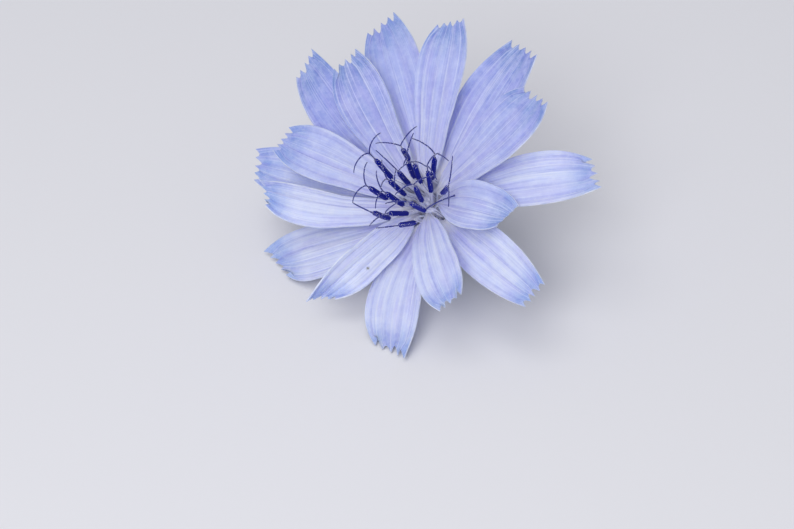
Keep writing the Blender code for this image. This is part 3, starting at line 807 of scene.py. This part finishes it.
def petal_skin(look):
    """Living petal: thin, watery cells let light through and scatter it, and their domed tops give
    a soft, velvety gleam. Pigment gathers in the furrows, and the veins between them stay pale."""
    material, add = new_material(
        "Petal skin, upper", Roughness=0.55, IOR=1.45, Specular_IOR_Level=0.3,
        Subsurface_Weight=0.6, Subsurface_Radius=PETAL_GLOW, Subsurface_Scale=0.5 * MM,
        Sheen_Weight=0.12, Sheen_Roughness=0.4)
    across, along, faded, speck = (add("ShaderNodeAttribute", attribute_name=name).outputs["Fac"]
                                   for name in ("across", "along", "faded", "speck"))
    foot = [(0.0, look.foot), (0.15, look.foot), (0.27, look.throat)]
    fresh, pale = (set_stops(add("ShaderNodeValToRGB", {"Fac": along}), *foot, *blade)
                   for blade in ([(0.64, look.fresh), (0.78, look.fresh), (0.91, look.tip)],
                                 [(0.5, look.pale), (0.8, look.pale), (0.94, look.pale_tip)]))
    streaks = lengthwise_lines(add, spacing=1.4, run=6.0, shift=11.9, low=0.42, high=0.66,
                               most=0.32)
    dark_lines = lengthwise_lines(add, spacing=0.22, run=12.0, shift=0.0, low=0.48, high=0.68)
    pale_lines = lengthwise_lines(add, spacing=0.15, run=18.0, shift=3.7, low=0.5, high=0.7)
    furrow = furrow_lines(add, across, start=0.28, most=0.26)
    past_foot = add(RANGE, {"Value": along, "From Min": 0.16, "From Max": 0.34})
    inked = add(MATH, {0: dark_lines, 1: 0.3, 2: furrow}, operation="MULTIPLY_ADD")
    inked = add(MATH, {0: inked, 1: past_foot}, operation="MULTIPLY")
    whitened = add(MATH, {0: pale_lines, 1: 0.5}, operation="MULTIPLY")
    # Patches about 1.2 mm wide where the skin is a little paler
    place = add("ShaderNodeTexCoord").outputs["Object"]
    noise = add("ShaderNodeTexNoise", {"Vector": place, "Scale": 1.0 / (1.2 * MM), "Detail": 5.0,
                                       "Roughness": 0.75})
    patch = add(RANGE, {"Value": noise, "From Min": 0.42, "From Max": 0.68, "To Max": 0.3})
    relief = add(MATH, {0: pale_lines, 1: dark_lines}, operation="SUBTRACT")
    # The faded share mixes in the paler blade: partly real fading, partly painted light that makes
    # the lower petals and those in shade paler
    layers = [(faded, pale), (streaks, look.blush), (inked, look.furrow),
              (whitened, look.pale_vein), (patch, look.pale_vein), (speck, look.speck)]
    return paint(material, fresh, layers, relief, strength=0.45, depth=0.04)


def petal_underside(look):
    """The back of a petal: the same thin tissue with less pigment, duller, with raised veins."""
    material, add = new_material(
        "Petal skin, underside", Roughness=0.6, IOR=1.45, Specular_IOR_Level=0.25,
        Subsurface_Weight=0.6, Subsurface_Radius=PETAL_GLOW, Subsurface_Scale=0.5 * MM)
    along = add("ShaderNodeAttribute", attribute_name="along").outputs["Fac"]
    skin = set_stops(add("ShaderNodeValToRGB", {"Fac": along}), (0.0, look.foot), (0.14, look.foot),
                     (0.3, look.underside), (0.78, look.underside), (0.95, look.tip))
    lines = lengthwise_lines(add, spacing=0.22, run=16.0, shift=9.1, low=0.42, high=0.7)
    inked = add(MATH, {0: lines, 1: 0.4}, operation="MULTIPLY")
    return paint(material, skin, [(inked, look.furrow)], lines, strength=0.5, depth=0.06)


def petal_rim(look):
    """The edge of a petal is one clear cell layer, which catches the light as a pale line."""
    material, add = new_material(
        "Petal edge, clear cells", Roughness=0.4, IOR=1.45, Subsurface_Weight=0.25,
        Subsurface_Radius=PETAL_GLOW, Subsurface_Scale=0.3 * MM)
    patches = lengthwise_lines(add, spacing=2.0, run=1.5, shift=5.3, low=0.35, high=0.7,
                               most=0.4)
    return paint(material, look.rim, [(patches, look.tip)])


def speckled(name, base, other, size, depth, **constants):
    """Plant skin of two mixed colours, in patches size mm wide, with a bump depth mm deep."""
    material, add = new_material(name, **constants)
    place = add("ShaderNodeTexCoord").outputs["Object"]
    noise = add("ShaderNodeTexNoise",
                {"Vector": place, "Scale": 1.0 / (size * MM), "Detail": 3.0, "Roughness": 0.6})
    patch = add(RANGE, {"Value": noise, "From Min": 0.35, "From Max": 0.68, "To Max": 0.6})
    return paint(material, base, [(patch, other)], noise, strength=0.6, depth=depth)


def pollen_skin(look):
    """Pollen: dry, spiny white grains that lie in clumps and look chalky. One grain is too fine to
    show, so each ball stands for a few of them."""
    return speckled("Pollen clump", look.pollen, linear("#d4d6ea"), size=0.02, depth=0.005,
                    Roughness=0.9, IOR=1.4)


def bract_skin(look):
    """A green bract: a waxy leaf with fine lengthwise ribs, a thin pale edge and a brown point."""
    material, add = new_material(
        "Bract leaf, green", Roughness=0.5, IOR=1.45, Subsurface_Weight=0.12,
        Subsurface_Radius=(0.4, 0.8, 0.2), Subsurface_Scale=0.3 * MM)
    across, along = (add("ShaderNodeAttribute", attribute_name=name).outputs["Fac"]
                     for name in ("across", "along"))
    from_middle = add(MATH, {0: across}, operation="ABSOLUTE")
    edge, keel, foot, point = (
        add(RANGE, {"Value": value, "From Min": start, "From Max": end, "To Max": most})
        for value, start, end, most in (
            (from_middle, 0.6, 0.95, 1.0), (from_middle, 0.12, 0.0, 0.6),
            (along, 0.3, 0.0, 0.6), (along, 0.85, 1.0, 0.8)))
    ribs = lengthwise_lines(add, spacing=0.35, run=20.0, shift=2.2, low=0.35, high=0.7)
    ribbing = add(MATH, {0: ribs, 1: 0.4}, operation="MULTIPLY")
    pale = add(MATH, {0: edge, 1: keel}, operation="MAXIMUM")
    pale = add(MATH, {0: pale, 1: ribbing}, operation="MAXIMUM")
    layers = [(pale, look.margin), (foot, look.cup), (point, look.bract_tip)]
    return paint(material, look.bract, layers, ribs, strength=0.6, depth=0.05)


def floor_paint(look):
    """Matt painted board: plain and pale, with the faint orange-peel of a roller."""
    material, add = new_material("Matt painted board", Base_Color=look.floor, Roughness=0.85,
                                 Specular_IOR_Level=0.2)
    place = add("ShaderNodeTexCoord").outputs["Object"]
    noise = add("ShaderNodeTexNoise", {"Vector": place, "Scale": 1.0 / (1.1 * MM), "Detail": 2.0})
    return paint(material, height=noise, strength=0.08, depth=0.05)


# Operators


def hand_over(obj, node):
    """Puts the finished piece where the head lies, and has it stand for its solid."""
    obj.data.transform(head_matrix())
    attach(obj, "root")
    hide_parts(node)


class CHICORY_OT_petals(bpy.types.Operator):
    """Make the sixteen ligules, with furrows, veins, teeth and a rolled foot"""
    bl_idname = "chicory.petals"
    bl_label = "Petals"

    def execute(self, context):
        look = context.scene.chicory_petals
        skins = [petal_skin(look), petal_underside(look), petal_rim(look)]
        relief = relief_tree()
        for place, floret in enumerate(FLORETS):
            node = f"floret_{place + 1:02d}_ligule"
            petal = sheet(node + "_petal", BLADE_COLUMNS, BLADE_ROWS,
                          lambda u, v: blade_points(floret, place, u, v, look.ruffle / MM))
            dirt = self.speck(petal.data, floret) if place + 1 == SPECK_FLORET else 0.0
            # The faded attribute holds each petal's paleness: partly real fading, partly painted
            # light on the lower petals and those in shade
            for name, value in (("number", place + 1), ("faded", FADED_AND_PAINTED_LIGHT[place]), ("speck", dirt)):
                set_attribute(petal.data, name, value)
            grow(petal, relief, Furrow_Depth=look.furrow_depth, Vein_Height=look.vein_height,
                 Vein_Turns=math.tau * BLADE_HALF_WIDTH / RAISED_VEIN_SPACING, Material=skins[0])
            dress(petal.data, *skins)
            thicken(petal, look.thickness, back=1, rim=2)
            hand_over(petal, node)
        return {"FINISHED"}

    def speck(self, mesh, floret):
        """How dirty each point of a petal is."""
        along, across = np.zeros(len(mesh.vertices)), np.zeros(len(mesh.vertices))
        mesh.attributes["along"].data.foreach_get("value", along)
        mesh.attributes["across"].data.foreach_get("value", across)
        away = np.hypot((along - SPECK_PLACE[0]) * floret.length,
                        (across - SPECK_PLACE[1]) * floret.width / 2.0)
        return ease(1.3 - away / SPECK_RADIUS)


class CHICORY_OT_anthers(bpy.types.Operator):
    """Make the dark anther tubes and the five pale filaments under each"""
    bl_idname = "chicory.anthers"
    bl_label = "Anther tubes"

    def execute(self, context):
        look = context.scene.chicory_columns
        # Anther walls: dry, dense blue skins joined edge to edge, with a dull satin gleam
        sleeve = speckled("Anther wall, joined", look.anther, linear("#10229e"), size=0.12,
                          depth=0.01, Roughness=0.5, IOR=1.45, Specular_IOR_Level=0.2)
        # Filaments: colourless watery threads that light passes through
        thread = speckled("Filament thread", look.filament, linear("#cfd3fb"), size=0.3,
                          depth=0.01, Roughness=0.4, IOR=1.4, Subsurface_Weight=0.4,
                          Subsurface_Radius=WHITE_GLOW, Subsurface_Scale=0.2 * MM)
        grains = {"Grain_Radius": look.grain_radius, "Grain_Material": pollen_skin(look)}
        stem = stem_tree()
        for place, floret in enumerate(FLORETS):
            node = f"floret_{place + 1:02d}_anthers"
            knots, _ = column_points(floret, place)
            points, places = smooth_path(knots[:4], 10)
            # The anther tube begins at the third knot, is pinched at its ends and dusty on top
            upper, way = points[places >= 2.0], places[places >= 2.0] - 2.0
            pinch = 0.12 * ease((0.1 - way) / 0.1) + 0.3 * ease((way - 0.9) / 0.1)
            dust = 0.05 + 0.75 * ease((way - 0.88) / 0.12)
            tube = wires(node + "_tube", [(upper, look.anther_radius * (1.0 - pinch), dust)])
            grow(tube, stem, Sides=30, Lobes=5.0, Lobe_Depth=0.1, Grain_Density=4.0e7, Seed=place,
                 Material=sleeve, **grains)
            hand_over(tube, node)
            # Five filaments stand side by side round the path, and end just inside the tube
            ring = [polar(look.filament_ring / MM, angle, 0.0)
                    for angle in math.tau * np.arange(5) / 5.0]
            threads = wires(node + "_filaments", [
                (points[places <= 2.1] + aside, look.filament_radius, 0.0) for aside in ring])
            grow(threads, stem, Sides=8, Seed=place, Material=thread, **grains)
            hand_over(threads, node)
        return {"FINISHED"}


class CHICORY_OT_styles(bpy.types.Operator):
    """Make the styles, each forked into two curled arms and dusted with pollen"""
    bl_idname = "chicory.styles"
    bl_label = "Styles"

    def execute(self, context):
        look = context.scene.chicory_columns
        # Style: a violet-blue thread covered in fine hairs, which make it look velvety
        skin = speckled("Style, violet and downy", look.style, linear("#2c37a0"), size=0.1,
                        depth=0.01, Roughness=0.6, IOR=1.45, Sheen_Weight=0.3, Sheen_Roughness=0.5)
        pollen = pollen_skin(look)
        stem = stem_tree()
        for place, floret in enumerate(FLORETS):
            node = f"floret_{place + 1:02d}_style"
            knots, up = column_points(floret, place)
            points, places = smooth_path(knots, 12)
            paths = [(points, look.style_radius, ease((places - 2.9) / 0.3))]
            for azimuth, curl, length in floret.arms:
                arm = arm_points(knots[-1], up, azimuth, curl, length)
                taper = 1.0 - 0.35 * np.linspace(0.0, 1.0, len(arm)) ** 3
                paths.append((arm, look.arm_radius * taper, 1.0))
            if place + 1 == LOOSE_THREAD_FLORET:
                # The thread ends in a knob
                loose, places = smooth_path(LOOSE_THREAD, 8)
                knob = 1.0 + 0.7 * ease((places - len(LOOSE_THREAD) + 1.35) / 0.3)
                paths.append((loose, look.style_radius * knob, 0.3))
            style = wires(node + "_arms", paths)
            grow(style, stem, Sides=10, Grain_Radius=look.grain_radius, Grain_Density=1.6e7,
                 Seed=40 + place, Material=skin, Grain_Material=pollen)
            hand_over(style, node)
        return {"FINISHED"}


class CHICORY_OT_cup(bpy.types.Operator):
    """Make the green cup with its stalk stub, bracts and hairs, and the seat of the florets"""
    bl_idname = "chicory.cup"
    bl_label = "Cup and bracts"

    def execute(self, context):
        look = context.scene.chicory_cup
        stem, hairs = stem_tree(), hair_tree()
        self.make_core(look, stem)
        self.make_seat(look, stem, hairs)
        self.make_bracts(look, hairs)
        return {"FINISHED"}

    def make_core(self, look, stem):
        """The cup and the ribbed stalk, cut off level with the ground."""
        # Stalk and cup: green skin with paler ribs
        skin = speckled("Stalk skin, green", look.cup, look.margin, size=0.5, depth=0.03,
                        Roughness=0.5, IOR=1.45)
        # Pith: the dry white inside of the stalk, open and spongy
        pith = speckled("Pith", look.pith, linear("#b9c48e"), size=0.15, depth=0.05,
                        Roughness=0.8, IOR=1.4)
        z = np.linspace(CORE_PROFILE[0][1], CORE_PROFILE[-1][1], 60)
        core = wires("involucre_core", [(polar(0.0, 0.0, z), core_radius(z) * MM, 0.0)])
        grow(core, stem, Sides=72, Lobes=float(look.stalk_ribs), Lobe_Depth=0.03, Material=skin,
             Grain_Material=pith)
        dress(core.data, skin, pith)
        ground = head_matrix().inverted() @ Vector((0.0, 0.0, 0.0))
        upright = head_matrix().to_3x3().inverted() @ Vector((0.0, 0.0, 1.0))
        solid = bmesh.new()
        solid.from_mesh(core.data)
        cut = bmesh.ops.bisect_plane(solid, geom=solid.verts[:] + solid.edges[:] + solid.faces[:],
                                     plane_co=ground, plane_no=upright, clear_inner=True)
        edges = [item for item in cut["geom_cut"] if isinstance(item, bmesh.types.BMEdge)]
        for face in bmesh.ops.contextual_create(solid, geom=edges)["faces"]:
            face.material_index = 1
            face.smooth = False
        bmesh.ops.recalc_face_normals(solid, faces=solid.faces[:])
        solid.to_mesh(core.data)
        solid.free()
        hand_over(core, "involucre")

    def make_seat(self, look, stem, hairs):
        """The florets' domed seat, with the short white scales that crown each seed."""
        # Seed scales: dry, papery and white, so they fill the gaps between the florets with light
        chaff = speckled("Seed scales, papery", look.scale, linear("#d0d3fb"), size=0.2,
                         depth=0.02, Roughness=0.7, IOR=1.4, Subsurface_Weight=0.2,
                         Subsurface_Radius=WHITE_GLOW, Subsurface_Scale=0.2 * MM)
        share = np.array([1.0, *np.linspace(1.0, 0.02, 16)])
        z = SEAT_RIM_Z + SEAT_RISE * (1.0 - share ** 2)
        # The first ring goes down below the rim of the cup
        z[0] -= 0.15
        seat = wires("involucre_seat", [(polar(0.0, 0.0, z), SEAT_RADIUS * share * MM, 0.0)])
        grow(seat, stem, Sides=72, Material=chaff, Grain_Material=chaff)
        scales = sheet("involucre_scales", 48, 12, dome_points)
        grow(scales, hairs, Length=look.scale_length, Radius=0.1 * MM, Point_Radius=0.03 * MM,
             Gland_Radius=0.03 * MM, Edge_Density=2.4e7, Back_Density=2.4e7, Lean=0.3, Seed=5,
             Material=chaff)
        for piece in (seat, scales):
            hand_over(piece, "involucre")

    def make_bracts(self, look, hairs):
        """Two rings of bracts, each with its coat of gland hairs."""
        skin = bract_skin(look)
        # Gland hairs: clear stalks with a yellowish sticky head, which glint
        down = speckled("Gland hair", linear("#c8cfa0"), linear("#a89f6a"), size=0.1, depth=0.002,
                        Roughness=0.3, IOR=1.45)
        ring = ring_tree()
        # Name, shape, how many, first angle, unevenness, and hairs to a square metre at the
        # edges and on the back
        rings = [
            ("involucre_inner_bracts", inner_bract_points, INNER_BRACTS, seat_angle(1), 0.02,
             2.0e5, 6.0e4),
            ("involucre_outer_bracts", outer_bract_points, OUTER_BRACTS,
             math.radians(FIRST_OUTER_BRACT), 0.05, 9.0e6, 1.5e5)]
        for name, shape, count, first, uneven, edge_density, back_density in rings:
            bracts = sheet(name, BRACT_COLUMNS, BRACT_ROWS, shape)
            dress(bracts.data, skin)
            set_attribute(bracts.data, "number", count)
            thicken(bracts, look.bract_thickness)
            grow(bracts, ring, Count=count, First_Angle=first, Unevenness=uneven, Seed=count,
                 Material=skin)
            coat = new_object(name + "_hairs", bracts.data.copy())
            grow(coat, hairs, Length=look.hair_length, Radius=look.hair_radius,
                 Point_Radius=0.008 * MM, Gland_Radius=look.hair_radius, Edge_Density=edge_density,
                 Back_Density=back_density, Lean=0.45, Seed=count, Material=down)
            for piece in (bracts, coat):
                hand_over(piece, "involucre")


class CHICORY_OT_stage(bpy.types.Operator):
    """Set the floor, the lights and the camera"""
    bl_idname = "chicory.stage"
    bl_label = "Stage"

    # Where the camera stands: its slope in degrees, and in mm its distance from the head and how
    # far to the right and up in the view it aims
    ELEVATION = 42.0
    DISTANCE = 254.0
    AIM = (-3.69, -6.86)

    def execute(self, context):
        look = context.scene.chicory_stage
        scene = context.scene
        bpy.ops.mesh.primitive_plane_add(size=6.0)
        floor = context.object
        floor.name = "floor"
        dress(floor.data, floor_paint(look))

        world = bpy.data.worlds.new("Soft room")
        world.use_nodes = True
        background = world.node_tree.nodes["Background"]
        background.inputs["Color"].default_value = linear("#f6f7ff")
        background.inputs["Strength"].default_value = look.sky
        scene.world = world
        scene.view_settings.view_transform = "Standard"

        self.add_light("key", "SUN", (-0.12, -0.08, 0.5), energy=look.key, angle=math.radians(42.0))
        self.add_light("fill", "AREA", (-0.1, -0.3, 0.3), energy=look.fill_power, size=0.2)

        tilt = math.radians(self.ELEVATION)
        up = Vector((0.0, math.sin(tilt), math.cos(tilt)))
        towards = Vector((0.0, -math.cos(tilt), math.sin(tilt)))
        camera = bpy.data.cameras.new("camera")
        camera.lens = look.lens
        camera.clip_start = 0.01
        eye = new_object("camera", camera)
        eye.rotation_euler = (math.radians(90.0 - self.ELEVATION), 0.0, 0.0)
        eye.location = (Vector(HEAD_PLACE) + Vector((self.AIM[0], 0.0, 0.0)) + up * self.AIM[1]
                        + towards * self.DISTANCE) * MM
        scene.camera = eye
        return {"FINISHED"}

    def add_light(self, name, kind, place, **settings):
        """A light at place that looks at the flower."""
        lamp = bpy.data.lights.new(name, kind)
        for setting, value in settings.items():
            setattr(lamp, setting, value)
        holder = new_object(name, lamp)
        holder.location = place
        aim = Vector((0.0, 0.0, 0.01)) - holder.location
        holder.rotation_euler = aim.to_track_quat("-Z", "Y").to_euler()


class CHICORY_PT_flower(bpy.types.Panel):
    """Lists the steps that make the flower, with their sizes and colours"""
    bl_idname = "CHICORY_PT_flower"
    bl_label = "Chicory flower"
    bl_space_type = "VIEW_3D"
    bl_region_type = "UI"
    bl_category = "Chicory"

    def draw(self, context):
        for step, look in STEPS.items():
            box = self.layout.box()
            box.operator(step.bl_idname)
            settings = getattr(context.scene, look)
            for name in settings.__annotations__:
                box.prop(settings, name)


LOOKS = {"chicory_petals": PetalLook, "chicory_columns": ColumnLook, "chicory_cup": CupLook,
         "chicory_stage": StageLook}
STEPS = {CHICORY_OT_petals: "chicory_petals", CHICORY_OT_anthers: "chicory_columns",
         CHICORY_OT_styles: "chicory_columns", CHICORY_OT_cup: "chicory_cup",
         CHICORY_OT_stage: "chicory_stage"}
CLASSES = (*LOOKS.values(), *STEPS, CHICORY_PT_flower)


def register():
    for cls in CLASSES:
        bpy.utils.register_class(cls)
    for name, look in LOOKS.items():
        setattr(bpy.types.Scene, name, PointerProperty(type=look))


def unregister():
    for name in LOOKS:
        delattr(bpy.types.Scene, name)
    for cls in reversed(CLASSES):
        bpy.utils.unregister_class(cls)


def main():
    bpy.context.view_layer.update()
    register()
    bpy.ops.chicory.petals()
    bpy.ops.chicory.anthers()
    bpy.ops.chicory.styles()
    bpy.ops.chicory.cup()
    bpy.ops.chicory.stage()


if __name__ == "__main__":
    main()
